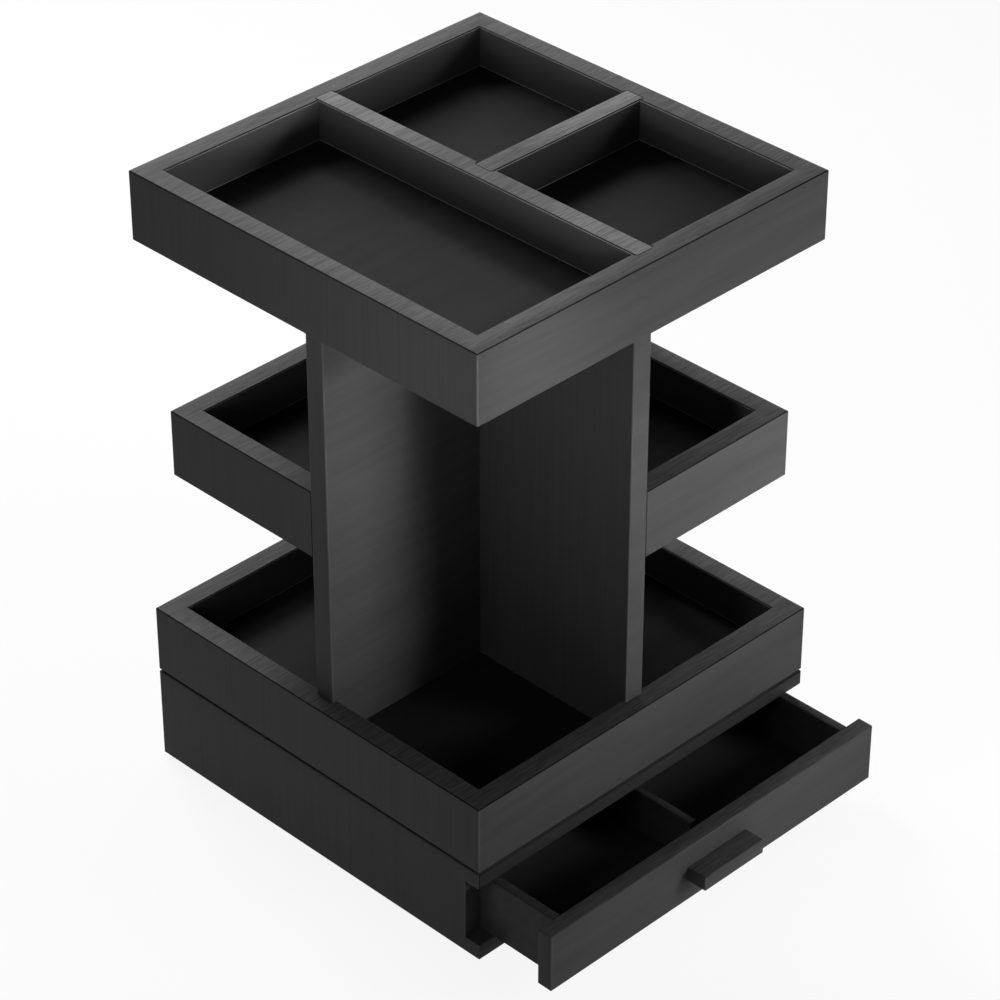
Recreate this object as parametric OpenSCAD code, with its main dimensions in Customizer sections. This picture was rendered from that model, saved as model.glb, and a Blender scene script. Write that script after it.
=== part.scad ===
// Rotating perfume organizer: a carousel of trays round a cross of upright
// panels, which turns on a ball-bearing ring over a base with one drawer.
// Millimetres, +Z up. The origin is on the floor, on the axis of the turntable.
// The drawer's front faces -Y, and the drawer is drawn pulled out by drawer_open.

/* [Overall] */
// Width and depth of the base, the lower tray and the top tray
body_w = 200; // [180:1:230]
// Width of the small bevel on each exposed edge
arris = 0.6; // [0.3:0.1:1]
// Gap round a board that is let into a slot
fit_gap = 0.15; // [0.1:0.05:0.3]

/* [Base] */
// Thickness of the rubber feet
foot_t = 2; // [1:0.5:4]
// Diameter of the rubber feet
foot_d = 16; // [10:1:24]
// Distance from the base's sides to the middle of a foot
foot_inset = 20; // [18:1:40]
// Thickness of the base's bottom, sides and back
base_board_t = 8; // [7:0.5:10]
// Thickness of the board over the drawer
base_top_t = 7.5; // [7:0.5:12]
// Clear height of the drawer's bay
bay_h = 30; // [26:1:50]

/* [Drawer] */
// Thickness of the drawer's front
drawer_front_t = 8; // [6:0.5:12]
// Thickness of the drawer's sides and back
drawer_wall_t = 4.8; // [4:0.2:6]
// Thickness of the drawer's bottom
drawer_bottom_t = 3; // [2.5:0.5:4]
// Height of the drawer's bottom board above the lower edge of its sides
drawer_bottom_lift = 1.7; // [1:0.1:4]
// Gap above and below the drawer
drawer_reveal = 0.5; // [0.3:0.1:1]
// Gap beside the drawer
drawer_side_gap = 0.4; // [0.3:0.1:1]
// Gap behind the closed drawer
drawer_back_gap = 1; // [0.5:0.5:20]
// Gap between the closed front and the ends of the base's sides
drawer_stop_gap = 0.3; // [0.3:0.1:1]
// How far the drawer is drawn pulled out
drawer_open = 41.6; // [0:0.1:110]
// Thickness of the partition in the drawer
partition_t = 4; // [3:0.5:8]
// Distance from the top of the drawer's sides down to the partition
partition_drop = 4.4; // [0:0.2:10]
// Gap between the partition and the drawer's front
partition_front_gap = 5.8; // [1:0.2:12]
// Length of the handle block
handle_l = 36.6; // [30:0.2:80]
// Height of the handle block
handle_h = 7.4; // [6:0.2:14]
// How far the handle block stands out
handle_d = 10.1; // [9:0.1:16]
// Distance between the two screws of the handle
handle_screw_pitch = 20; // [12:1:22]

/* [Turntable] */
// Overall height of the bearing
bearing_t = 10; // [9:0.5:14]
// Outer diameter of the bearing
bearing_d = 140; // [110:1:146]
// Width of each ring, from its edge to the gap between the rings
ring_w = 10.5; // [9.5:0.5:12]
// Diameter of a ball
ball_d = 5; // [4:0.5:5]
// Number of balls
ball_count = 24; // [12:1:48]
// Gap between a ball and its races
ball_gap = 0.15; // [0.1:0.05:0.2]
// Gap between the two rings
ring_gap = 1; // [0.6:0.1:1.4]
// How far each ring stands back from the board that it turns against
ring_setback = 0.8; // [0.5:0.1:1.2]
// Gap between the base and the lower tray
seam_gap = 0.8; // [0.5:0.1:2]
// Diameter of the hole through which the inner ring's screws are reached
access_d = 10; // [8:1:12]

/* [Trays] */
// Thickness of the trays' walls
wall_t = 10.5; // [9:0.5:14]
// Height of the walls of the top and mid trays
wall_h = 32.5; // [30:0.1:50]
// Depth of each tray from its rim to its floor
tray_depth = 18.8; // [14:0.1:21]
// Thickness of the trays' floors
floor_t = 5; // [5:0.5:6]
// Depth of the groove that holds a floor
groove_d = 3; // [2:0.5:5]
// Clear height between the lower tray's rim and the mid trays
lower_bay_h = 69.2; // [50:0.2:120]
// Clear height between the mid trays' rim and the top tray
upper_bay_h = 82.6; // [50:0.2:120]

/* [Panels] */
// Thickness of the upright panels and the top tray's dividers
panel_t = 10; // [9:0.5:14]
// How far a panel or divider is let into the board that holds it
let_in = 2.5; // [1:0.1:2.7]
// Radius of the upright edges of the panels
panel_edge_r = 0.8; // [0.5:0.1:2]
// Radius of the upright edges of the top tray's dividers
divider_edge_r = 1.5; // [0.5:0.1:2]

/* [Fastenings] */
// Diameter of the wood screws
screw_d = 3; // [2.5:0.1:3.2]
// Diameter of the screws' heads
screw_head_d = 6; // [5.5:0.1:6]
// Diameter of the dowels
dowel_d = 5; // [4:0.5:5]
// Gap round a dowel or the shank of a screw
pin_gap = 0.05; // [0.03:0.01:0.1]

/* [Hidden] */
// Smoothness of round faces
$fn = 64;
// How far a cut runs past the face that it opens
over = 1;

// Widths and places in plan
half = body_w / 2;
inner_half = half - wall_t;
panel_half = inner_half + let_in;
mid_inner = panel_half - wall_t;
bay_half = half - base_board_t;
side_front_y = -half + drawer_front_t + drawer_stop_gap;
slot_w = panel_t + 2 * fit_gap;
slot_d = let_in + fit_gap;

// Heights
base_z = foot_t;
bay_z = base_z + base_board_t;
bay_top_z = bay_z + bay_h;
base_top_z = bay_top_z + base_top_t;
lower_z = base_top_z + seam_gap;
lower_floor_z = base_top_z + bearing_t;
lower_wall_h = lower_floor_z + floor_t + tray_depth - lower_z;
panel_z = lower_floor_z + floor_t;
mid_z = lower_z + lower_wall_h + lower_bay_h;
mid_floor_z = mid_z + wall_h - tray_depth - floor_t;
top_z = mid_z + wall_h + upper_bay_h;
top_floor_z = top_z + wall_h - tray_depth - floor_t;
divider_z = top_floor_z + floor_t;
rim_z = top_z + wall_h;
panel_h = top_floor_z - panel_z;

// Drawer, measured with the drawer closed
drawer_z = bay_z + drawer_reveal;
drawer_h = bay_h - 2 * drawer_reveal;
drawer_half = bay_half - drawer_side_gap;
drawer_inner = drawer_half - drawer_wall_t;
drawer_front_y = -half + drawer_front_t;
drawer_rear_y = bay_half - drawer_back_gap;
drawer_groove = 2;
drawer_bottom_z = drawer_z + drawer_bottom_lift;
drawer_floor_z = drawer_bottom_z + drawer_bottom_t;
handle_z = drawer_z + drawer_h / 2;
clear_h = drawer_z + drawer_h - drawer_floor_z;
corner_dowel_zs = [drawer_floor_z + 0.2 * clear_h, drawer_floor_z + 0.7 * clear_h];

// Bearing
race_r = bearing_d / 2 - ring_w - ring_gap / 2;
bore_r = race_r - ring_gap / 2 - ring_w;
race_z = base_top_z + bearing_t / 2;
ring_h = bearing_t - ring_setback;
groove_r = ball_d / 2 + ball_gap;
outer_hole_r = (race_r + groove_r + bearing_d / 2) / 2;
inner_hole_r = (race_r - groove_r + bore_r) / 2;
ring_bevel = 0.5;
ring_screws = 4;

// Screws: how far each kind bites into the board that it holds
base_bite = bay_h / 2 - 2;
panel_bite = 15;
outer_ring_bite = base_top_t - 1.5;
inner_ring_bite = floor_t - 1;
handle_bite = handle_d - 3;
screw_slot_w = 0.8;
screw_slot_l = 3;
screw_slot_d = 1.2;
screw_tip = 1.5;
bite_gap = 0.5;

// Dowels: how far each kind goes into the two boards that it joins
base_dowel_down = bay_h / 2 - 2;
base_dowel_up = base_top_t - 2;
top_dowel_down = 12;
top_dowel_up = floor_t - 1.5;
mid_dowel_in = panel_t - 3.5;
mid_dowel_out = 8;
mid_dowel_zs = [(wall_h - tray_depth - floor_t) / 2, wall_h - tray_depth / 2];
dowel_bevel = 0.5;
corner_dowel_d = 0.6 * drawer_wall_t;
corner_dowel_l = 8;
corner_dowel_front = drawer_front_t - 3;
corner_dowel_side = drawer_wall_t - 1.5;

// Places of the screws and dowels in plan
base_side_ys = [-0.6 * half, 0.6 * half];
base_back_xs = [-0.5 * half, 0.5 * half];
panel_screw_r = (bearing_d / 2 + inner_half) / 2;
top_dowel_main_ys = [-0.62 * half, 0.62 * half];
top_dowel_cross_r = 0.5 * half;

// Colours
laminate = "#333333";
laminate_dark = "#1f1f1f";
aluminium = "#b8babd";
steel = "#9a9da1";
beech = "#c9a06b";
rubber = "#191919";

// Rectangles with bevelled corners

// One corner of an outline: two points where it is bevelled by c, otherwise one
function corner(p, a, b, c) = c > 0 ? [p + a * c, p + b * c] : [p];

// Rectangle from [0, 0] to [w, h], with its corners bevelled by c[0] to c[3],
// counted anticlockwise from the origin
function bevelled(w, h, c) = concat(
    corner([0, 0], [0, 1], [1, 0], c[0]),
    corner([w, 0], [-1, 0], [0, 1], c[1]),
    corner([w, h], [0, -1], [-1, 0], c[2]),
    corner([0, h], [1, 0], [0, -1], c[3])
);

// Turns an extrusion so that its outline lies in Y and Z and it runs along +X
module along_x() {
    rotate([90, 0, 90]) children();
}

// Turns an extrusion so that its outline lies in X and Z and it runs along +Y
module along_y() {
    mirror([0, 1, 0]) rotate([90, 0, 0]) children();
}

// Board from low to high. Each list says how the corners are bevelled in one
// view: from above, from the front (along Y) and from the side (along X).
module board(low, high, above = [0, 0, 0, 0], front = [0, 0, 0, 0], side = [0, 0, 0, 0]) {
    s = high - low;
    translate(low) intersection() {
        linear_extrude(s[2]) polygon(bevelled(s[0], s[1], above * arris));
        along_y() linear_extrude(s[1]) polygon(bevelled(s[0], s[2], front * arris));
        along_x() linear_extrude(s[0]) polygon(bevelled(s[1], s[2], side * arris));
    }
}

// Slots and boards with rounded ends

// Rectangle of size [w, l], centred, with four round corners
module round_rect(w, l, r) {
    square([w - 2 * r, l], center = true);
    square([w, l - 2 * r], center = true);
    for (x = [-1, 1], y = [-1, 1]) {
        translate([x * (w / 2 - r), y * (l / 2 - r)]) circle(r);
    }
}

// Blind slot in plan: its closed end is at the origin and it opens towards +Y
module slot_plan(w, d, r) {
    translate([-w / 2, r]) square([w, d + over]);
    translate([-w / 2 + r, 0]) square([w - 2 * r, d + over]);
    for (x = [-1, 1]) {
        translate([x * (w / 2 - r), r]) circle(r);
    }
}

// Slot from z0 to z1 for the end of a panel or divider with edges of radius r
module end_slot(z0, z1, r) {
    translate([0, 0, z0]) linear_extrude(z1 - z0) slot_plan(slot_w, slot_d, r + fit_gap);
}

// Tray walls

// Cross-section of a wall of height h: its outer face is at 0, and the groove
// for the floor is in its inner face
function wall_section(h) = let (z1 = h - tray_depth, z0 = z1 - floor_t) [
    [arris, 0], [wall_t - arris, 0], [wall_t, arris],
    [wall_t, z0], [wall_t - groove_d, z0], [wall_t - groove_d, z1], [wall_t, z1],
    [wall_t, h - arris], [wall_t - arris, h], [arris, h], [0, h - arris], [0, arris]
];

// End of a wall in plan, from its inner face to its outer face. s is 1 at the
// right end and -1 at the left, and a mitred end meets the next wall at 45 degrees.
function wall_end(x, s, mitred) = mitred
    ? [[x - s * wall_t, wall_t], [x - s * arris / 2, arris / 2], [x - s * arris, 0]]
    : [[x, wall_t], [x, 0]];

// List turned round
function reversed(list) = [for (i = [len(list) - 1:-1:0]) list[i]];

// Wall of height h from x0 to x1, with its outer face on y = 0
module tray_wall(x0, x1, h, mitre0 = true, mitre1 = true) {
    plan = concat(reversed(wall_end(x1, 1, mitre1)), wall_end(x0, -1, mitre0));
    intersection() {
        linear_extrude(h) polygon(plan);
        translate([x0, 0, 0]) along_x() linear_extrude(x1 - x0) polygon(wall_section(h));
    }
}

// Wall of a full-size tray at height z, on the side that turn names: 0 is the
// front (-Y), 90 the right (+X), 180 the back and 270 the left. A slot in the
// rim takes a panel or divider, and one below takes a panel's upper end. Each
// slot is given by the radius of the edges that it takes, and 0 leaves it out.
module full_wall(turn, z, h, rim_r = 0, foot_r = 0) {
    color(laminate) rotate([0, 0, turn]) translate([0, -half, z]) difference() {
        tray_wall(-half, half, h);
        translate([0, wall_t - slot_d, 0]) {
            if (rim_r > 0) end_slot(h - tray_depth, h + over, rim_r);
            if (foot_r > 0) end_slot(-over, h - tray_depth - floor_t, foot_r);
        }
    }
}

// Floor of a full-size tray, held in the grooves of its four walls
module full_floor(z) {
    reach = inner_half + groove_d - fit_gap;
    translate([-reach, -reach, z]) cube([2 * reach, 2 * reach, floor_t]);
}

// Screws and dowels. Each stands at the origin with its head or upper end up.

// Wood screw with a countersunk head, whose top is at the origin
module screw(l) {
    head_r = screw_head_d / 2;
    shank_r = screw_d / 2;
    difference() {
        rotate_extrude() polygon([
            [0, 0], [head_r, 0], [shank_r, shank_r - head_r],
            [shank_r, screw_tip - l], [shank_r / 3, -l], [0, -l]
        ]);
        for (turn = [0, 90]) {
            rotate([0, 0, turn]) translate([0, 0, -screw_slot_d / 2 + over / 2]) {
                cube([screw_slot_l, screw_slot_w, screw_slot_d + over], center = true);
            }
        }
    }
}

// Countersunk hole for a screw, from the origin down through l, open above
module screw_hole(l) {
    head_r = screw_head_d / 2 + pin_gap;
    shank_r = screw_d / 2 + pin_gap;
    rotate_extrude() polygon([
        [0, over], [head_r, over], [head_r, 0], [shank_r, shank_r - head_r],
        [shank_r, -l], [0, -l]
    ]);
}

// Plain hole of radius r and depth l, down from the origin
module pilot(r, l) {
    translate([0, 0, -l]) cylinder(r = r, h = l + over);
}

// Dowel from -down to up, with bevelled ends
module dowel(down, up, d = dowel_d) {
    r = d / 2;
    b = dowel_bevel;
    rotate_extrude() polygon([
        [0, -down], [r - b, -down], [r, b - down], [r, up - b], [r - b, up], [0, up]
    ]);
}

// Hole for one end of a dowel, l deep
module dowel_hole(l, d = dowel_d) {
    pilot(d / 2 + pin_gap, l + bite_gap);
}

// Places

// The bottom edges of the base's sides and back, where the base is screwed
module at_base_edges() {
    edge = half - base_board_t / 2;
    for (x = [-edge, edge], y = base_side_ys) {
        translate([x, y, 0]) children();
    }
    for (x = base_back_xs) {
        translate([x, edge, 0]) children();
    }
}

// The four screws of a bearing ring, on a circle of radius r
module at_ring_screws(r) {
    for (i = [0:ring_screws - 1]) {
        rotate([0, 0, 45 + i * 360 / ring_screws]) translate([r, 0, 0]) children();
    }
}

// The four screws under the lower tray, one under each arm of the cross
module at_panel_screws() {
    for (turn = [0:90:270]) {
        rotate([0, 0, turn]) translate([panel_screw_r, 0, 0]) children();
    }
}

// The dowels in the top edges of the panels
module at_top_dowels() {
    for (y = top_dowel_main_ys) {
        translate([0, y, top_floor_z]) children();
    }
    for (x = [-top_dowel_cross_r, top_dowel_cross_r]) {
        translate([x, 0, top_floor_z]) children();
    }
}

// The dowels that hold the left mid tray's walls to the panels. Their upper
// ends point out of the panel and into the wall.
module at_left_mid_dowels() {
    middle = panel_half - wall_t / 2;
    for (z = mid_dowel_zs) {
        translate([-middle, panel_t / 2, mid_z + z]) rotate([-90, 0, 0]) children();
        translate([-panel_t / 2, middle, mid_z + z]) rotate([0, -90, 0]) children();
    }
}

// The same for the mid trays on both sides
module at_mid_dowels() {
    for (turn = [0, 180]) {
        rotate([0, 0, turn]) at_left_mid_dowels() children();
    }
}

// The dowels between the drawer's sides and its front. Their upper ends point
// back into the sides.
module at_front_corner_dowels() {
    for (x = (drawer_half + drawer_inner) / 2 * [-1, 1], z = corner_dowel_zs) {
        translate([x, drawer_front_y, z]) rotate([-90, 0, 0]) children();
    }
}

// The dowels between the drawer's sides and its back. Their upper ends point
// in, into the ends of the back.
module at_rear_corner_dowels() {
    for (s = [-1, 1], z = corner_dowel_zs) {
        translate([s * drawer_inner, drawer_rear_y - drawer_wall_t / 2, z]) {
            rotate([0, -s * 90, 0]) children();
        }
    }
}

// The drawer as it is drawn, pulled out
module pulled_out() {
    translate([0, -drawer_open, 0]) children();
}

// Base

// Four pads with a rounded look, stuck under the corners of the base
module rubber_feet() {
    place = half - foot_inset;
    r = foot_d / 2;
    b = foot_t / 4;
    color(rubber) for (x = [-place, place], y = [-place, place]) {
        translate([x, y, 0]) rotate_extrude() polygon([
            [0, 0], [r - b, 0], [r, b], [r, foot_t], [0, foot_t]
        ]);
    }
}

module base_bottom() {
    color(laminate) difference() {
        board([-half, -half, base_z], [half, half, bay_z],
            above = [1, 1, 1, 1], front = [1, 1, 0, 0], side = [1, 1, 0, 1]);
        at_base_edges() translate([0, 0, base_z]) mirror([0, 0, 1]) screw_hole(base_board_t + over);
    }
}

// Side of the base: left for s = -1 and right for s = 1
module base_side(s) {
    low = [min(s * half, s * bay_half), side_front_y, bay_z];
    high = [max(s * half, s * bay_half), half, bay_top_z];
    color(laminate) difference() {
        board(low, high, above = s < 0 ? [1, 0, 0, 1] : [0, 1, 1, 0]);
        at_base_edges() base_edge_holes();
    }
}

module base_left_side() {
    base_side(-1);
}

module base_right_side() {
    base_side(1);
}

module base_back() {
    color(laminate) difference() {
        board([-bay_half, bay_half, bay_z], [bay_half, half, bay_top_z]);
        at_base_edges() base_edge_holes();
    }
}

// Screw hole from below and dowel hole from above, in the base's upright boards
module base_edge_holes() {
    translate([0, 0, bay_z]) mirror([0, 0, 1]) pilot(screw_d / 2 + pin_gap, base_bite + bite_gap);
    translate([0, 0, bay_top_z]) dowel_hole(base_dowel_down);
}

module base_top() {
    color(laminate) difference() {
        board([-half, -half, bay_top_z], [half, half, base_top_z],
            above = [1, 1, 1, 1], front = [0, 0, 1, 1], side = [1, 0, 1, 1]);
        at_base_edges() translate([0, 0, bay_top_z]) mirror([0, 0, 1]) dowel_hole(base_dowel_up);
        at_ring_screws(outer_hole_r) translate([0, 0, base_top_z]) {
            pilot(screw_d / 2 + pin_gap, outer_ring_bite + bite_gap);
        }
        rotate([0, 0, 45]) translate([inner_hole_r, 0, bay_top_z - over]) {
            cylinder(d = access_d, h = base_top_t + 2 * over);
        }
    }
}

module base_screws() {
    color(steel) at_base_edges() translate([0, 0, base_z]) mirror([0, 0, 1]) {
        screw(base_board_t + base_bite);
    }
}

module base_dowels() {
    color(beech) at_base_edges() translate([0, 0, bay_top_z]) dowel(base_dowel_down, base_dowel_up);
}

// Turntable bearing: two rings with a groove each, and balls between them

// Ring between radii r0 and r1, its foot at height z, with the balls' groove
module bearing_ring(r0, r1, z) {
    rotate_extrude() difference() {
        translate([r0, z]) polygon(bevelled(r1 - r0, ring_h, ring_bevel * [1, 1, 1, 1]));
        translate([race_r, race_z]) circle(groove_r);
    }
}

module bearing_outer_ring() {
    color(aluminium) difference() {
        bearing_ring(race_r + ring_gap / 2, bearing_d / 2, base_top_z);
        at_ring_screws(outer_hole_r) translate([0, 0, base_top_z + ring_h]) {
            screw_hole(ring_h + over);
        }
    }
}

module bearing_outer_screws() {
    color(steel) at_ring_screws(outer_hole_r) translate([0, 0, base_top_z + ring_h]) {
        screw(ring_h + outer_ring_bite);
    }
}

module bearing_balls() {
    color(steel) for (i = [0:ball_count - 1]) {
        rotate([0, 0, i * 360 / ball_count]) translate([race_r, 0, race_z]) sphere(d = ball_d);
    }
}

module bearing_inner_ring() {
    color(aluminium) difference() {
        bearing_ring(bore_r, race_r - ring_gap / 2, base_top_z + ring_setback);
        at_ring_screws(inner_hole_r) translate([0, 0, base_top_z + ring_setback]) {
            mirror([0, 0, 1]) screw_hole(ring_h + over);
        }
    }
}

module bearing_inner_screws() {
    color(steel) at_ring_screws(inner_hole_r) translate([0, 0, base_top_z + ring_setback]) {
        mirror([0, 0, 1]) screw(ring_h + inner_ring_bite);
    }
}

// Lower tray

module lower_floor() {
    color(laminate_dark) difference() {
        full_floor(lower_floor_z);
        at_panel_screws() translate([0, 0, lower_floor_z]) mirror([0, 0, 1]) screw_hole(floor_t + over);
        at_ring_screws(inner_hole_r) translate([0, 0, lower_floor_z]) {
            mirror([0, 0, 1]) pilot(screw_d / 2 + pin_gap, inner_ring_bite + bite_gap);
        }
    }
}

module lower_front_wall() {
    full_wall(0, lower_z, lower_wall_h, rim_r = panel_edge_r);
}

module lower_right_wall() {
    full_wall(90, lower_z, lower_wall_h, rim_r = panel_edge_r);
}

module lower_back_wall() {
    full_wall(180, lower_z, lower_wall_h, rim_r = panel_edge_r);
}

module lower_left_wall() {
    full_wall(270, lower_z, lower_wall_h, rim_r = panel_edge_r);
}

// Cross of upright panels

// Holes that every panel shares: screws below, dowels above and at the mid trays
module panel_holes() {
    at_panel_screws() translate([0, 0, panel_z]) {
        mirror([0, 0, 1]) pilot(screw_d / 2 + pin_gap, panel_bite + bite_gap);
    }
    at_top_dowels() dowel_hole(top_dowel_down);
    at_mid_dowels() dowel_hole(mid_dowel_in);
}

// Grooves that hold the inner edges of both mid trays' floors
module shelf_grooves() {
    reach = mid_inner + groove_d;
    depth = panel_t / 2 - let_in;
    for (turn = [0, 180]) {
        rotate([0, 0, turn]) translate([-reach, depth, mid_floor_z]) {
            cube([reach - depth, reach - depth, floor_t]);
        }
    }
}

module main_panel() {
    color(laminate) difference() {
        translate([0, 0, panel_z]) linear_extrude(panel_h) {
            round_rect(panel_t, 2 * panel_half, panel_edge_r);
        }
        for (turn = [90, 270]) {
            rotate([0, 0, turn]) translate([0, panel_t / 2 - slot_d, 0]) {
                end_slot(panel_z - over, top_floor_z + over, panel_edge_r);
            }
        }
        shelf_grooves();
        panel_holes();
    }
}

// Half-width panel that reaches from the main panel out to the left (-X)
module half_panel() {
    root = panel_t / 2 - let_in;
    l = panel_half - root;
    translate([-root - l / 2, 0, panel_z]) linear_extrude(panel_h) {
        round_rect(l, panel_t, panel_edge_r);
    }
}

module left_panel() {
    color(laminate) difference() {
        half_panel();
        shelf_grooves();
        panel_holes();
    }
}

module right_panel() {
    color(laminate) rotate([0, 0, 180]) difference() {
        half_panel();
        shelf_grooves();
        panel_holes();
    }
}

module panel_screws() {
    color(steel) at_panel_screws() translate([0, 0, lower_floor_z]) {
        mirror([0, 0, 1]) screw(floor_t + panel_bite);
    }
}

// Mid trays. Each fills one quadrant of the cross, and the panels close its
// inner sides. The right one is the left one turned by half a turn.

module mid_floor() {
    reach = mid_inner + groove_d - fit_gap;
    root = panel_t / 2 - let_in + fit_gap;
    color(laminate_dark) translate([-reach, root, mid_floor_z]) {
        cube([reach - root, reach - root, floor_t]);
    }
}

// Wall on the outer side of the left tray, along Y
module mid_side_wall() {
    color(laminate) difference() {
        translate([-panel_half, 0, mid_z]) rotate([0, 0, -90]) {
            tray_wall(-panel_half, -panel_t / 2, wall_h, true, false);
        }
        at_left_mid_dowels() mirror([0, 0, 1]) dowel_hole(mid_dowel_out);
    }
}

// Wall on the other outer side of the left tray, along X
module mid_end_wall() {
    color(laminate) difference() {
        translate([0, panel_half, mid_z]) rotate([0, 0, 180]) {
            tray_wall(panel_t / 2, panel_half, wall_h, false, true);
        }
        at_left_mid_dowels() mirror([0, 0, 1]) dowel_hole(mid_dowel_out);
    }
}

module mid_left_floor() {
    mid_floor();
}

module mid_left_side_wall() {
    mid_side_wall();
}

module mid_left_back_wall() {
    mid_end_wall();
}

module mid_right_floor() {
    rotate([0, 0, 180]) mid_floor();
}

module mid_right_side_wall() {
    rotate([0, 0, 180]) mid_side_wall();
}

module mid_right_front_wall() {
    rotate([0, 0, 180]) mid_end_wall();
}

module mid_tray_dowels() {
    color(beech) at_mid_dowels() dowel(mid_dowel_in, mid_dowel_out);
}

// Top tray

module top_floor() {
    color(laminate_dark) difference() {
        full_floor(top_floor_z);
        at_top_dowels() mirror([0, 0, 1]) dowel_hole(top_dowel_up);
    }
}

module top_front_wall() {
    full_wall(0, top_z, wall_h, divider_edge_r, panel_edge_r);
}

module top_right_wall() {
    full_wall(90, top_z, wall_h, divider_edge_r, panel_edge_r);
}

module top_back_wall() {
    full_wall(180, top_z, wall_h, divider_edge_r, panel_edge_r);
}

module top_left_wall() {
    full_wall(270, top_z, wall_h, foot_r = panel_edge_r);
}

// Divider along Y from wall to wall
module long_divider() {
    color(laminate) difference() {
        intersection() {
            translate([0, 0, divider_z]) linear_extrude(tray_depth) {
                round_rect(panel_t, 2 * panel_half, divider_edge_r);
            }
            board([-panel_t / 2, -panel_half, divider_z], [panel_t / 2, panel_half, rim_z],
                front = [0, 0, 1, 1]);
        }
        rotate([0, 0, -90]) translate([0, panel_t / 2 - slot_d, 0]) {
            end_slot(divider_z - over, rim_z + over, divider_edge_r);
        }
    }
}

// Divider along X from the long divider to the right wall
module short_divider() {
    root = panel_t / 2 - let_in;
    l = panel_half - root;
    color(laminate) intersection() {
        translate([root + l / 2, 0, divider_z]) linear_extrude(tray_depth) {
            round_rect(l, panel_t, divider_edge_r);
        }
        board([root, -panel_t / 2, divider_z], [panel_half, panel_t / 2, rim_z],
            side = [0, 0, 1, 1]);
    }
}

module top_tray_dowels() {
    color(beech) at_top_dowels() dowel(top_dowel_down, top_dowel_up);
}

// Drawer

// Bottom board with a margin round it: the grooves are cut with the gap
module drawer_bottom_blank(margin) {
    low = [-drawer_inner - drawer_groove, drawer_front_y - drawer_groove, drawer_bottom_z];
    high = [drawer_inner + drawer_groove, drawer_rear_y - drawer_wall_t + drawer_groove, drawer_floor_z];
    m = [margin, margin, 0];
    translate(low - m) cube(high - low + 2 * m);
}

// The two screws that hold the handle, driven from inside the drawer
module at_handle_screws() {
    for (s = [-1, 1]) {
        translate([s * handle_screw_pitch / 2, drawer_front_y, handle_z]) rotate([-90, 0, 0]) children();
    }
}

module drawer_front() {
    color(laminate) pulled_out() difference() {
        board([-half, -half, drawer_z], [half, drawer_front_y, drawer_z + drawer_h],
            above = [1, 1, 1, 1], front = [1, 1, 1, 1], side = [1, 1, 1, 1]);
        drawer_bottom_blank(fit_gap);
        at_handle_screws() screw_hole(drawer_front_t + over);
        at_front_corner_dowels() dowel_hole(corner_dowel_front, corner_dowel_d);
    }
}

// Side of the drawer: left for s = -1 and right for s = 1
module drawer_side(s) {
    low = [min(s * drawer_half, s * drawer_inner), drawer_front_y, drawer_z];
    high = [max(s * drawer_half, s * drawer_inner), drawer_rear_y, drawer_z + drawer_h];
    color(laminate_dark) pulled_out() difference() {
        board(low, high, front = [0, 0, 1, 1]);
        drawer_bottom_blank(fit_gap);
        at_front_corner_dowels() mirror([0, 0, 1]) dowel_hole(corner_dowel_l, corner_dowel_d);
        at_rear_corner_dowels() dowel_hole(corner_dowel_side, corner_dowel_d);
    }
}

module drawer_left_side() {
    drawer_side(-1);
}

module drawer_right_side() {
    drawer_side(1);
}

module drawer_back() {
    top_z = drawer_z + drawer_h;
    color(laminate_dark) pulled_out() difference() {
        board([-drawer_inner, drawer_rear_y - drawer_wall_t, drawer_z], [drawer_inner, drawer_rear_y, top_z],
            side = [0, 0, 1, 1]);
        drawer_bottom_blank(fit_gap);
        partition_blank(fit_gap, over);
        at_rear_corner_dowels() mirror([0, 0, 1]) dowel_hole(corner_dowel_l, corner_dowel_d);
    }
}

module drawer_bottom() {
    color(laminate_dark) pulled_out() drawer_bottom_blank(0);
}

// Partition from near the front to a slot in the drawer's back, widened by
// margin and raised by extra to cut that slot
module partition_blank(margin, extra) {
    low = [-partition_t / 2 - margin, drawer_front_y + partition_front_gap, drawer_floor_z];
    high = [
        partition_t / 2 + margin,
        drawer_rear_y - drawer_wall_t + drawer_groove + margin,
        drawer_z + drawer_h - partition_drop + margin
    ];
    board(low, high, front = extra > 0 ? [0, 0, 0, 0] : [0, 0, 1, 1]);
}

module drawer_partition() {
    color(laminate_dark) pulled_out() partition_blank(0, 0);
}

module drawer_dowels() {
    color(beech) pulled_out() {
        at_front_corner_dowels() dowel(corner_dowel_front, corner_dowel_l, corner_dowel_d);
        at_rear_corner_dowels() dowel(corner_dowel_side, corner_dowel_l, corner_dowel_d);
    }
}

module drawer_handle() {
    low = [-handle_l / 2, -half - handle_d, handle_z - handle_h / 2];
    high = [handle_l / 2, -half, handle_z + handle_h / 2];
    color(laminate) pulled_out() difference() {
        board(low, high, above = [1, 1, 0, 0], front = [1, 1, 1, 1], side = [1, 0, 0, 1]);
        at_handle_screws() pilot(screw_d / 2 + pin_gap, drawer_front_t + handle_bite + bite_gap);
    }
}

module handle_screws() {
    color(steel) pulled_out() at_handle_screws() screw(drawer_front_t + handle_bite);
}

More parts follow.
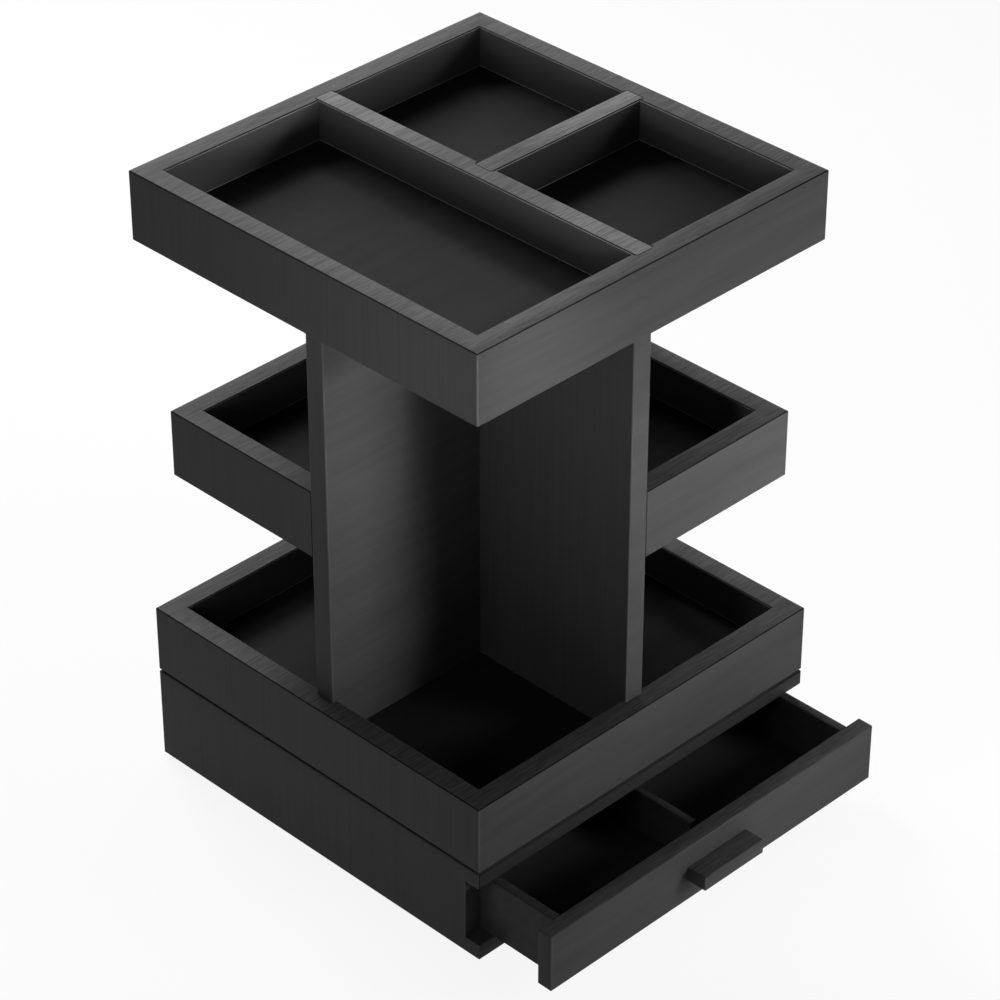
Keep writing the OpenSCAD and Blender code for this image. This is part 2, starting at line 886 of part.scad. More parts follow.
rubber_feet();
base_bottom();
base_left_side();
base_right_side();
base_back();
base_top();
base_screws();
base_dowels();
bearing_outer_ring();
bearing_outer_screws();
bearing_balls();
bearing_inner_ring();
bearing_inner_screws();
lower_floor();
lower_front_wall();
lower_right_wall();
lower_back_wall();
lower_left_wall();
main_panel();
left_panel();
right_panel();
panel_screws();
mid_left_floor();
mid_left_side_wall();
mid_left_back_wall();
mid_right_floor();
mid_right_side_wall();
mid_right_front_wall();
mid_tray_dowels();
top_floor();
top_front_wall();
top_right_wall();
top_back_wall();
top_left_wall();
long_divider();
short_divider();
top_tray_dowels();
drawer_front();
drawer_left_side();
drawer_right_side();
drawer_back();
drawer_bottom();
drawer_partition();
drawer_dowels();
drawer_handle();
handle_screws();
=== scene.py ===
"""Looks of the rotating perfume organizer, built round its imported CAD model.

Everything is in metres in the CAD frame: +Z up, the origin on the floor on the
turntable's axis, the drawer's front facing -Y. Boards keep their CAD shape, and
are shown as welded skins whose arrises shade as rounded edges. Screws, dowels,
balls and feet are surfaces of their own.
"""

import functools
import logging
import math
from collections.abc import Sequence
from dataclasses import dataclass
from enum import Enum

import bpy
import numpy as np
from mathutils import Matrix, Vector


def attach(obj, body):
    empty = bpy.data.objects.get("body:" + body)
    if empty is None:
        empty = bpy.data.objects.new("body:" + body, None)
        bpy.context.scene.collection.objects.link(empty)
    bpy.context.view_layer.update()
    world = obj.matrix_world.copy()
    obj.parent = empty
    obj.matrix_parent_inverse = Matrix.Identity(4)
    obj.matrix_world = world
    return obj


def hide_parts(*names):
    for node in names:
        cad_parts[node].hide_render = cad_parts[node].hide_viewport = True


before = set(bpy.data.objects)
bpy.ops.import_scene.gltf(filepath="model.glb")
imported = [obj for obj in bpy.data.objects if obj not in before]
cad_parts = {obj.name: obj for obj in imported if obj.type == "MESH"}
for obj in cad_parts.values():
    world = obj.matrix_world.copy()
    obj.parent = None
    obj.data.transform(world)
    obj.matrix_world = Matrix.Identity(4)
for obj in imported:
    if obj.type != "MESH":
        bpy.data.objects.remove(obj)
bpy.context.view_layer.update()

LOG = logging.getLogger("organizer")

MM = 0.001

Array = np.ndarray
Piece = bpy.types.Object
Material = bpy.types.Material
Socket = bpy.types.NodeSocket
Point = tuple[float, float, float]
Colour = tuple[float, float, float]
Range = tuple[float, float]
Number = Socket | float
Source = Number | Point

UP: Point = (0.0, 0.0, 1.0)
FRONT: Point = (0.0, -1.0, 0.0)
ORIGIN: Point = (0.0, 0.0, 0.0)
LEVEL: Point = (1.0, 1.0, 0.0)
BLACK: Colour = (0.0, 0.0, 0.0)
WHITE: Colour = (1.0, 1.0, 1.0)


class Body(Enum):
    """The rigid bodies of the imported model."""

    BASE = "base"
    CAROUSEL = "carousel"
    DRAWER = "drawer"


class Slot(Enum):
    """The record's material slots."""

    LAMINATE = "black_laminate"
    LINING = "black_lining"
    ALUMINIUM = "bearing_aluminium"
    BALL = "ball_steel"
    SCREW = "screw_steel"
    BEECH = "beech"
    RUBBER = "rubber"


def node_points(node: str) -> Array:
    """Reads a CAD node's own vertices.

    Args:
        node: the CAD node's name.

    Returns:
        One row for each vertex, in metres.
    """
    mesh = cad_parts[node].data
    points = np.empty(len(mesh.vertices) * 3, np.float32)
    mesh.vertices.foreach_get("co", points)
    return points.reshape(-1, 3).astype(float)


def node_box(node: str) -> tuple[Array, Array]:
    """Returns the lowest and the highest corner of a CAD node, in millimetres."""
    points = node_points(node) / MM
    return points.min(axis=0), points.max(axis=0)


# Materials


class Graph:
    """Builds a node tree.

    Args:
        tree: the tree of a new material or world.
        output: the type of its output node.
    """

    def __init__(self, tree: bpy.types.NodeTree, output: str) -> None:
        """Leaves nothing but the output node in the tree."""
        self.nodes, self.links = tree.nodes, tree.links
        self.nodes.clear()
        self.output = self.nodes.new(output).inputs["Surface"]

    def fill(self, socket: Socket, value: Source) -> None:
        """Links a source to a socket, or sets the socket to a number, vector or colour."""
        if isinstance(value, Socket):
            self.links.new(value, socket)
        elif isinstance(value, tuple):
            socket.default_value = (*value, 1.0)[: len(socket.default_value)]
        else:
            socket.default_value = value

    def add(
        self, kind: str, inputs: dict[int | str, Source] | None = None, **settings: str | bool
    ) -> bpy.types.Node:
        """Adds a node.

        Args:
            kind: the node's type.
            inputs: what goes into its sockets, by number or by name.
            **settings: the node's own settings.

        Returns:
            The node.
        """
        node = self.nodes.new(kind)
        for name, setting in settings.items():
            setattr(node, name, setting)
        for key, value in (inputs or {}).items():
            self.fill(node.inputs[key], value)
        return node

    def vector(
        self, operation: str, first: Socket, second: Socket | Point = ORIGIN, scale: float = 1.0
    ) -> Socket:
        """Adds a Vector Math node.

        Args:
            operation: the node's operation.
            first: the first vector.
            second: the second vector, a socket or a constant.
            scale: the factor of a SCALE operation.

        Returns:
            The node's output that the operation fills.
        """
        inputs = {0: first, 1: second, 3: scale}
        node = self.add("ShaderNodeVectorMath", inputs, operation=operation)
        return node.outputs[1 if operation == "LENGTH" else 0]

    def math(
        self, operation: str, first: Number, second: Number = 0.0, clamp: bool = False
    ) -> Socket:
        """Adds a Math node.

        Args:
            operation: the node's operation.
            first: the first value, a socket or a constant.
            second: the second value, a socket or a constant.
            clamp: whether the result is kept between 0 and 1.

        Returns:
            The node's output.
        """
        inputs = {0: first, 1: second}
        return self.add("ShaderNodeMath", inputs, operation=operation, use_clamp=clamp).outputs[0]

    def product(self, *values: Number) -> Socket:
        """Returns several values multiplied together."""
        return functools.reduce(functools.partial(self.math, "MULTIPLY"), values)

    def blend(self, values: Sequence[Socket], shares: Sequence[Number]) -> Socket:
        """Returns the sum of several values, each times its share."""
        parts = map(self.product, values, shares)
        return functools.reduce(functools.partial(self.math, "ADD"), parts)

    def axis(self, vector: Socket, name: str) -> Socket:
        """Returns one component of a vector, named X, Y or Z."""
        return self.add("ShaderNodeSeparateXYZ", {0: vector}).outputs[name]

    def noise(
        self, place: Socket, wavelengths: Point, detail: float = 2.0, roughness: float = 0.5
    ) -> bpy.types.Node:
        """Adds a noise that is stretched along the axes.

        Args:
            place: the point, in millimetres.
            wavelengths: the size of a speck along X, Y and Z, in millimetres.
            detail: how many finer layers are added.
            roughness: how strong the finer layers are.

        Returns:
            The noise node, with outputs Fac and Color.
        """
        stretched = self.vector("MULTIPLY", place, tuple(1.0 / w for w in wavelengths))
        inputs = {"Vector": stretched, "Scale": 1.0, "Detail": detail, "Roughness": roughness}
        return self.add("ShaderNodeTexNoise", inputs)

    def span(
        self, value: Socket, limits: Range, results: Range = (0.0, 1.0), smooth: bool = False
    ) -> Socket:
        """Maps a value from one range to another, clamped.

        Args:
            value: the value.
            limits: the values that give the first and the last result.
            results: the results at the limits.
            smooth: whether the ramp eases in and out.

        Returns:
            The mapped value.
        """
        names = ("Value", "From Min", "From Max", "To Min", "To Max")
        inputs = dict(zip(names, (value, *limits, *results)))
        kind = "SMOOTHSTEP" if smooth else "LINEAR"
        return self.add("ShaderNodeMapRange", inputs, interpolation_type=kind).outputs["Result"]

    def mix(self, share: Socket, first: Socket | Colour, second: Socket | Colour) -> Socket:
        """Mixes two colours.

        Args:
            share: how much of the second colour is taken.
            first: the colour at 0, a socket or a constant.
            second: the colour at 1, a socket or a constant.

        Returns:
            The mixed colour.
        """
        inputs = {0: share, 6: first, 7: second}
        return self.add("ShaderNodeMix", inputs, data_type="RGBA").outputs[2]

    def show(self, lit: Socket, seen: Socket, share: float = 1.0) -> None:
        """Lights with one shader and shows another to look at.

        Args:
            lit: the shader that lights the object.
            seen: the shader that the camera, reflections and glass see.
            share: how much of that shader they see.
        """
        path = self.add("ShaderNodeLightPath").outputs
        rays = [path[name] for name in ("Is Camera Ray", "Is Glossy Ray", "Is Transmission Ray")]
        any_ray = functools.reduce(functools.partial(self.math, "ADD", clamp=True), rays)
        inputs = {0: self.product(any_ray, share), 1: lit, 2: seen}
        self.fill(self.output, self.add("ShaderNodeMixShader", inputs).outputs[0])


class Coat(Graph):
    """Builds the node tree of one material.

    Args:
        name: the material's name.
    """

    def __init__(self, name: str) -> None:
        """Makes the material with a Principled shader on its output."""
        self.material = bpy.data.materials.new(name)
        self.material.use_nodes = True
        super().__init__(self.material.node_tree, "ShaderNodeOutputMaterial")
        self.shader = self.add("ShaderNodeBsdfPrincipled")
        self.fill(self.output, self.shader.outputs[0])

    def set(self, **values: Source) -> None:
        """Fills the shader's own sockets.

        Args:
            **values: socket names with _ for each blank, and what goes into them.
        """
        for name, value in values.items():
            self.fill(self.shader.inputs[name.replace("_", " ")], value)

    def relief(self, height: Socket, depth: float, strength: float) -> None:
        """Raises a pattern as relief.

        Args:
            height: the pattern, from 0 to 1.
            depth: the height of the relief at 1, in metres.
            strength: the bump's strength.
        """
        inputs = {"Height": height, "Distance": depth, "Strength": strength}
        self.set(Normal=self.add("ShaderNodeBump", inputs).outputs["Normal"])

    def place(self) -> Socket:
        """Returns the point on the surface, in millimetres in the CAD frame."""
        coords = self.add("ShaderNodeTexCoord").outputs["Object"]
        return self.vector("SCALE", coords, scale=1 / MM)

    def from_axis(self) -> Socket:
        """Returns the distance from the turntable's axis, in millimetres."""
        return self.vector("LENGTH", self.vector("MULTIPLY", self.place(), LEVEL))

    def facing(self) -> Socket:
        """Returns the normal in the piece's own frame."""
        return self.add("ShaderNodeTexCoord").outputs["Normal"]

    def attribute(self, name: str) -> Socket:
        """Returns a number that is stored in the mesh, or 0 where it isn't."""
        return self.add("ShaderNodeAttribute", attribute_name=name).outputs["Fac"]


@dataclass(frozen=True)
class Divider:
    """A divider whose ends are let into other boards, with its corners' radius in plan."""

    node: str
    radius: float = 1.5

    def distance(self, g: Coat) -> Socket:
        """Works out how far a point lies outside the divider's plan, in millimetres.

        With q the distance past the corner circle's centre along X and Y, it is
        the length of the positive part of q, plus the greater of the two where
        that is negative, less the corner's radius.

        Args:
            g: the material's graph.

        Returns:
            The distance, negative inside the outline.
        """
        low, high = node_box(self.node)
        centre, core = tuple((low + high) / 2), tuple((high - low) / 2 - self.radius)
        past = g.vector("ABSOLUTE", g.vector("SUBTRACT", g.place(), centre))
        past = g.vector("MULTIPLY", g.vector("SUBTRACT", past, core), LEVEL)
        beyond = g.vector("LENGTH", g.vector("MAXIMUM", past, ORIGIN))
        within = g.math("MINIMUM", g.math("MAXIMUM", g.axis(past, "X"), g.axis(past, "Y")), 0.0)
        return g.math("SUBTRACT", g.math("ADD", beyond, within), self.radius)


@dataclass(frozen=True)
class LaminateFinish:
    """Satin black laminate with a printed and pressed wood grain.

    The grain is one solid pattern with its fibres along X, so it runs on from
    board to board. It is crisp on the edge bands that look up, soft on faces
    that look along Y, and no more than faint upright lines on faces that look
    along X. Each edge band has a fine dark joint beside it. Upright faces that
    look into a tray are painted lighter, as painted light, and have a thin
    painted highlight where they meet a floor; painted highlights also run along
    the lips of their upper bevels and along upright bevels. The top tray's
    dividers have the same joint round their let-in ends, tops painted paler
    towards their outer ends as painted light, and the short one a front
    darkened with painted shade. Lengths are in millimetres.
    """

    name: str = "laminate"
    dark: Colour = (0.025, 0.025, 0.0255)
    light: Colour = (0.052, 0.052, 0.0525)
    tone_range: Range = (0.34, 0.66)
    fibre: Point = (13.0, 0.95, 0.95)
    fibre_roughness: float = 0.6
    streak: Point = (80.0, 4.5, 4.5)
    upright: Point = (1.6, 1.6, 70.0)
    cloud: Point = (90.0, 16.0, 16.0)
    wave: Point = (60.0, 40.0, 40.0)
    slow_detail: float = 1.0
    waver: float = 3.5
    top_shares: Point = (0.62, 0.26, 0.12)
    side_shares: Point = (0.24, 0.4, 0.36)
    top_contrast: float = 1.25
    side_contrast: float = 0.42
    end_contrast: float = 0.16
    looking: Range = (0.6, 0.85)
    gloss_range: Range = (0.36, 0.64)
    roughness: Range = (0.6, 0.5)
    band_gloss: float = 0.14
    joint_roughness: float = 0.3
    joint_range: Range = (0.25, 0.5)
    joint_depth: float = 0.9
    sideways_band: float = 0.55
    inside_painted_light: float = 2.0
    inside_painted_light_share: float = 0.5
    floor_highlight_half: float = 0.27
    floor_highlight_tone: float = 0.42
    lip_highlight_range: Range = (0.35, 0.55)
    lip_highlight_tone: float = 0.28
    arris_tone: float = 0.08
    arris_share: float = 0.8
    floors: tuple[str, ...] = ("lower_floor", "mid_left_floor", "top_floor")
    long_divider: Divider = Divider("long_divider")
    short_divider: Divider = Divider("short_divider")
    let_in_line: float = 0.24
    divider_painted_light: Range = (1.05, 2.9)
    divider_painted_light_reach: Range = (18.0, 62.0)
    painted_front_shade: float = 0.5
    specular: float = 0.055
    relief_depth: float = 0.015 * MM
    relief_strength: float = 0.5

    def build(self) -> Material:
        """Builds the material, whose tone, gloss and relief follow the grain.

        Returns:
            The material.
        """
        g = Coat(self.name)
        grain = self.grain(g)
        tone = g.span(grain, self.tone_range)
        outline, divider, front = self.let_ins(g)
        joint = g.span(g.attribute("band_joint"), self.joint_range, (0.0, self.joint_depth))
        joint = g.math("MAXIMUM", joint, g.product(outline, self.joint_depth))
        rough = g.span(grain, self.gloss_range, self.roughness)
        rough = g.math("SUBTRACT", rough, g.product(g.attribute("band"), self.band_gloss))
        rough = g.math("ADD", rough, g.product(joint, self.joint_roughness), clamp=True)
        colour = g.mix(joint, self.colour(g, tone, divider, front), BLACK)
        g.set(Base_Color=colour, Roughness=rough, Specular_IOR_Level=self.specular)
        g.relief(tone, self.relief_depth, self.relief_strength)
        return g.material

    def grain(self, g: Coat) -> Socket:
        """Works out the grain.

        Fine fibres, streaks and clouds are stretched along X and bent sideways
        by a slow wave. Their shares and contrast depend on where the face looks.

        Args:
            g: the material's graph.

        Returns:
            About 0 in the pores and 1 on the smooth wood.
        """
        place = g.place()
        wave = g.noise(place, self.wave, self.slow_detail).outputs["Color"]
        wave = g.vector("SUBTRACT", wave, (0.5, 0.5, 0.5))
        bent = g.vector("ADD", place, g.vector("MULTIPLY", wave, (0.0, self.waver, self.waver)))
        fibre = g.noise(bent, self.fibre, roughness=self.fibre_roughness)
        streak, cloud = g.noise(bent, self.streak), g.noise(bent, self.cloud, self.slow_detail)
        layers = [noise.outputs["Fac"] for noise in (fibre, streak, cloud)]
        top = self.swing(g, g.blend(layers, self.top_shares), self.top_contrast)
        side = self.swing(g, g.blend(layers, self.side_shares), self.side_contrast)
        end = self.swing(g, g.noise(place, self.upright).outputs["Fac"], self.end_contrast)
        is_top, is_end = self.looks(g, "Z"), self.looks(g, "X")
        is_side = g.math("SUBTRACT", g.math("SUBTRACT", 1.0, is_top), is_end)
        return g.blend((side, top, end), (is_side, is_top, is_end))

    def looks(self, g: Coat, axis: str) -> Socket:
        """Returns 1 where the surface looks along an axis, and 0 where it looks across it."""
        return g.span(g.math("ABSOLUTE", g.axis(g.facing(), axis)), self.looking, smooth=True)

    def swing(self, g: Coat, pattern: Socket, contrast: float) -> Socket:
        """Returns a pattern with its swing about 0.5 made wider or narrower."""
        return g.math("ADD", g.product(g.math("SUBTRACT", pattern, 0.5), contrast), 0.5)

    def colour(self, g: Coat, tone: Socket, divider: Socket, front: Socket) -> Socket:
        """Lays each part's tone, painted light and painted shade over the board's.

        Args:
            g: the material's graph.
            tone: the grain's tone, from 0 to 1.
            divider: 1 on the dividers' tops, which get painted light.
            front: 1 on the short divider's front, which gets painted shade.

        Returns:
            The colour, without the joints.
        """
        colour, near, far = (
            g.mix(tone, *(tuple(lift * c for c in tint) for tint in (self.dark, self.light)))
            for lift in (1.0, *self.divider_painted_light)
        )
        # Painted light: the dividers' tops are lighter than the board and grow paler towards their
        # outer ends, for light on the ends and shade near the crossing.
        outward = g.span(g.from_axis(), self.divider_painted_light_reach, smooth=True)
        sideways = g.product(g.attribute("band"), g.math("SUBTRACT", 1.0, self.looks(g, "Z")))
        # Painted light: upright faces that look into a tray are lightened.
        inside = g.product(g.attribute("inside"), self.inside_painted_light_share)
        layers = (
            (divider, g.mix(outward, near, far)),
            (g.product(sideways, 1.0 - self.sideways_band), BLACK),
            (inside, tuple(self.inside_painted_light * c for c in self.light)),
            # Painted shade: the short divider's front is darkened.
            (g.product(front, 1.0 - self.painted_front_shade), BLACK),
            # Painted highlight: a thin light line where inside faces meet a floor.
            (self.painted_floor_highlight(g), (self.floor_highlight_tone,) * 3),
            # Painted highlight along the lips of inside faces.
            (g.span(g.attribute("lip_highlight"), self.lip_highlight_range), (self.lip_highlight_tone,) * 3),
            # Painted highlight along upright bevels.
            (g.product(g.attribute("arris"), self.arris_share), (self.arris_tone,) * 3),
        )
        for share, over in layers:
            colour = g.mix(share, colour, over)
        return colour

    def let_ins(self, g: Coat) -> tuple[Socket, Socket, Socket]:
        """Marks the dividers of the top tray.

        Args:
            g: the material's graph.

        Returns:
            1 on the fine lines round the dividers' let-in ends, 1 on the
            dividers' own tops, which get painted light, and 1 on the short
            divider's front, which gets painted shade.
        """
        in_tray = g.math("GREATER_THAN", g.axis(g.place(), "Z"), self.levels()[-1])
        top = g.product(in_tray, g.attribute("band"))
        past_long, past_short = self.long_divider.distance(g), self.short_divider.distance(g)
        long_line, short_line = (
            g.math("LESS_THAN", g.math("ABSOLUTE", past), self.let_in_line)
            for past in (past_long, past_short)
        )
        long_line = g.product(long_line, g.math("GREATER_THAN", past_short, 0.0))
        outline = g.math("MAXIMUM", long_line, short_line)
        divider = g.math("LESS_THAN", g.math("MINIMUM", past_long, past_short), 0.0)
        # Marks the short divider's front, where painted shade goes.
        ahead = g.span(g.product(g.axis(g.facing(), "Y"), -1.0), self.looking)
        front = g.product(short_line, g.attribute("inside"), ahead, in_tray)
        return g.product(outline, top), g.product(divider, top), front

    def levels(self) -> list[float]:
        """Returns the heights of the floors, from the lowest up."""
        return [float(node_box(floor)[1][2]) for floor in self.floors]

    def painted_floor_highlight(self, g: Coat) -> Socket:
        """Marks the painted highlight along the floors.

        Args:
            g: the material's graph.

        Returns:
            1 within half the painted highlight's width of a floor's level on
            inside faces, and 0 elsewhere.
        """
        height = g.axis(g.place(), "Z")
        off = [g.math("ABSOLUTE", g.math("SUBTRACT", height, level)) for level in self.levels()]
        near = [g.math("LESS_THAN", distance, self.floor_highlight_half) for distance in off]
        on_level = g.blend(near, (1.0,) * len(near))
        return g.math("MULTIPLY", on_level, g.attribute("inside"), clamp=True)


class Lay(Enum):
    """Which way a fine pattern runs."""

    TURNED = "turned"
    PLAIN = "plain"


@dataclass(frozen=True)
class FineFinish:
    """Finish whose tone, gloss and relief follow one fine pattern.

    The pattern is a noise of the place or, on turned work, of the distance from
    the turntable's axis and the height. The first roughness and tone are those
    of its low spots. Lengths of the pattern are in millimetres.
    """

    name: str
    dark: Colour
    light: Colour
    speck: Point
    roughness: Range
    detail: float = 3.0
    tone_range: Range = (0.35, 0.65)
    gloss_range: Range = (0.3, 0.7)
    specular: float = 0.5
    metallic: float = 0.0
    relief_depth: float = 0.0
    relief_strength: float = 1.0
    lay: Lay = Lay.PLAIN

    def build(self) -> Material:
        """Builds the material round its pattern.

        Returns:
            The material.
        """
        g = Coat(self.name)
        place = g.place()
        if self.lay is Lay.TURNED:
            ring = {"X": g.from_axis(), "Y": g.axis(place, "Z")}
            place = g.add("ShaderNodeCombineXYZ", ring).outputs[0]
        pattern = g.noise(place, self.speck, self.detail).outputs["Fac"]
        g.set(
            Base_Color=g.mix(g.span(pattern, self.tone_range), self.dark, self.light),
            Roughness=g.span(pattern, self.gloss_range, self.roughness),
            Specular_IOR_Level=self.specular,
            Metallic=self.metallic,
        )
        if self.relief_depth:
            g.relief(pattern, self.relief_depth, self.relief_strength)
        return g.material


def lining(name: str, dark: Colour, light: Colour, specular: float) -> FineFinish:
    """Returns a smooth black laminate with a faint streak along X.

    Args:
        name: the material's name.
        dark: its darker tone.
        light: its lighter tone.
        specular: how strongly it reflects.

    Returns:
        The finish.
    """
    streak, roughness = (80.0, 6.0, 6.0), (0.33, 0.3)
    return FineFinish(name, dark, light, streak, roughness, detail=2.0, specular=specular)


def metal(name: str, colour: Colour, roughness: Range, lay: Lay = Lay.PLAIN) -> FineFinish:
    """Returns a bare metal with fine tool marks that are duller than the rest.

    Args:
        name: the material's name.
        colour: the metal's colour.
        roughness: its roughness in the marks and between them.
        lay: which way the marks run.

    Returns:
        The finish.
    """
    mark_tone = 0.82
    turned_marks, plain_marks = ((0.22, 0.22, 1.0), 2.0), ((0.5, 0.5, 0.5), 3.0)
    speck, detail = turned_marks if lay is Lay.TURNED else plain_marks
    return FineFinish(
        name,
        dark=tuple(mark_tone * c for c in colour),
        light=colour,
        speck=speck,
        roughness=roughness,
        detail=detail,
        tone_range=(0.3, 0.7),
        metallic=1.0,
        relief_depth=0.004 * MM,
        relief_strength=0.4,
        lay=lay,
    )


@dataclass(frozen=True)
class FloorFinish:
    """White studio floor that keeps the object's shadow.

    The camera and reflections see it mostly as plain white, and the rest of
    its tone is lit, so that a soft shadow stays.
    """

    name: str = "studio_floor"
    albedo: float = 0.75
    roughness: float = 0.9
    specular: float = 0.1
    plain_share: float = 0.9

    def build(self) -> Material:
        """Builds the material: a lit shader, and plain white to look at.

        Returns:
            The material.
        """
        g = Coat(self.name)
        tone = (self.albedo,) * 3
        g.set(Base_Color=tone, Roughness=self.roughness, Specular_IOR_Level=self.specular)
        white = g.add("ShaderNodeEmission").outputs[0]
        g.show(g.shader.outputs[0], white, self.plain_share)
        return g.material


class Paint:
    """All finishes of the object: one for each slot, and a lighter copy of the lining for the
    drawer, as painted light.
    """

    def __init__(self) -> None:
        """Builds every material once."""
        beech = FineFinish(
            "beech_dowel",
            dark=(0.44, 0.27, 0.14),
            light=(0.62, 0.43, 0.26),
            speck=(0.35, 0.35, 2.4),
            roughness=(0.7, 0.5),
            relief_depth=0.02 * MM,
        )
        rubber = FineFinish(
            "foot_rubber",
            dark=(0.012,) * 3,
            light=(0.026,) * 3,
            speck=(0.4,) * 3,
            roughness=(0.85, 0.65),
            specular=0.3,
            relief_depth=0.03 * MM,
        )
        tray_lining = lining("lining", (0.016, 0.016, 0.0164), (0.0185, 0.0185, 0.019), 0.009)
        # Painted light: the drawer's lining is a lighter, glossier copy of the trays' lining.
        drawer_lining_painted_light = lining("drawer_lining_painted_light", (0.03, 0.03, 0.0306), (0.036, 0.036, 0.0367), 0.03)
        finishes = {
            Slot.LAMINATE: LaminateFinish(),
            Slot.LINING: tray_lining,
            Slot.ALUMINIUM: metal("turned_aluminium", (0.78, 0.79, 0.8), (0.36, 0.22), Lay.TURNED),
            Slot.BALL: metal("polished_ball", (0.82, 0.82, 0.84), (0.1, 0.05)),
            Slot.SCREW: metal("zinc_screw", (0.62, 0.63, 0.66), (0.42, 0.25)),
            Slot.BEECH: beech,
            Slot.RUBBER: rubber,
        }
        self.by_slot = {slot: finish.build() for slot, finish in finishes.items()}
        self.own = {(Body.DRAWER, Slot.LINING): drawer_lining_painted_light.build()}

    def dress(self, piece: Piece, slot: Slot, body: Body) -> None:
        """Gives a piece its material.

        Args:
            piece: the piece.
            slot: the record's material slot.
            body: the body it rides on.
        """
        piece.data.materials.clear()
        piece.data.materials.append(self.own.get((body, slot), self.by_slot[slot]))


# Meshes


def add_object(name: str, data: bpy.types.ID) -> Piece:
    """Adds an object to the scene, at the origin.

    Args:
        name: its name.
        data: its mesh, lamp or camera.

    Returns:
        The new object.
    """
    thing = bpy.data.objects.new(name, data)
    bpy.context.scene.collection.objects.link(thing)
    return thing


def new_piece(name: str, points: Array, faces: Array) -> Piece:
    """Makes an object from whole arrays.

    Args:
        name: the piece's name.
        points: its vertices, one row each, in metres.
        faces: its triangles or quads, one row of vertex numbers each.

    Returns:
        The new object, at the origin.
    """
    mesh = bpy.data.meshes.new(name)
    mesh.vertices.add(len(points))
    mesh.vertices.foreach_set("co", points.astype(np.float32).ravel())
    mesh.loops.add(faces.size)
    mesh.loops.foreach_set("vertex_index", faces.astype(np.int32).ravel())
    mesh.polygons.add(len(faces))
    starts = np.arange(0, faces.size, faces.shape[1], dtype=np.int32)
    mesh.polygons.foreach_set("loop_start", starts)
    mesh.update(calc_edges=True)
    return add_object(name, mesh)


# Triangles whose normals and distances from the origin agree to this are one
# flat. The shift keeps round values off the borders between two steps.
NORMAL_STEP = 1e-3
DISTANCE_STEP = 1e-6
STEP_SHIFT = 0.217


@dataclass(frozen=True)
class Surface:
    """A surface of triangles.

    Each row of points is a vertex, and each row of triangles has three vertex
    numbers. A corner is a triangle's own share of a vertex.
    """

    points: Array
    triangles: Array

    def face_normals(self) -> tuple[Array, Array]:
        """Works out where each triangle looks.

        Returns:
            Each triangle's unit normal, and twice its area.
        """
        first, second, third = (self.points[self.triangles[:, k]] for k in range(3))
        cross = np.cross(second - first, third - first)
        area = np.linalg.norm(cross, axis=1)
        return cross / area[:, None], area

    def corner_normals(self, crease_deg: float) -> Array:
        """Works out a normal for every corner, so that narrow bevels read as rounded edges.

        Triangles with one normal and one distance from the origin form a flat.
        A corner's normal is the sum of the normals of the flats that meet at
        its vertex within crease_deg of its own, each times its flat's whole
        area. So a wide face stays flat up to its border, and a narrow bevel
        turns evenly from one wide face to the other.

        Args:
            crease_deg: flats that differ by more than this meet in a sharp edge.

        Returns:
            One unit normal for each corner, in the triangles' order.
        """
        unit, area = self.face_normals()
        distance = (unit * self.points[self.triangles[:, 0]]).sum(axis=1)
        plane = np.column_stack([unit / NORMAL_STEP, distance / DISTANCE_STEP]) + STEP_SHIFT
        _, flat = np.unique(np.round(plane).astype(np.int64), axis=0, return_inverse=True)
        flat = flat.ravel()
        flat_area = np.bincount(flat, weights=area)
        summed = [np.bincount(flat, weights=area * unit[:, k]) for k in range(3)]
        flat_normal = np.stack(summed, axis=1)
        flat_normal /= np.linalg.norm(flat_normal, axis=1)[:, None]
        vertex = self.triangles.ravel()
        corner_flat = np.repeat(flat, 3)
        pairs = np.unique(np.column_stack([vertex, corner_flat]), axis=0)
        starts = np.searchsorted(pairs[:, 0], np.arange(len(self.points)))
        counts = np.bincount(pairs[:, 0], minlength=len(self.points))
        column = np.arange(counts.max())
        rows = np.minimum(starts[vertex][:, None] + column, len(pairs) - 1)
        near = pairs[rows, 1]
        valid = column < counts[vertex][:, None]
        turn = (flat_normal[near] * flat_normal[corner_flat][:, None, :]).sum(axis=2)
        weight = flat_area[near] * valid * (turn > math.cos(math.radians(crease_deg)))
        total = (flat_normal[near] * weight[:, :, None]).sum(axis=1)
        return total / np.linalg.norm(total, axis=1)[:, None]

    def piece(self, name: str, normals: Array) -> Piece:
        """Makes a piece of this surface.

        Args:
            name: the piece's name.
            normals: one unit normal for each corner, by which it is shaded.

        Returns:
            The new piece.
        """
        piece = new_piece(name, self.points, self.triangles)
        piece.data.polygons.foreach_set("use_smooth", np.ones(len(self.triangles), bool))
        piece.data.normals_split_custom_set(normals.tolist())
        return piece

    def solids(self) -> list[Array]:
        """Finds the separate solids.

        Every vertex takes the lowest number among its neighbours until nothing
        changes, so that a solid's vertices end with one number.

        Returns:
            The points of each solid, in the order of their first vertices.
        """
        label = np.arange(len(self.points))
        while True:
            lowest = label[self.triangles].min(axis=1)
            new = label.copy()
            np.minimum.at(new, self.triangles.ravel(), np.repeat(lowest, 3))
            new = new[new]
            if np.array_equal(new, label):
                return [self.points[label == k] for k in np.unique(label)]
            label = new


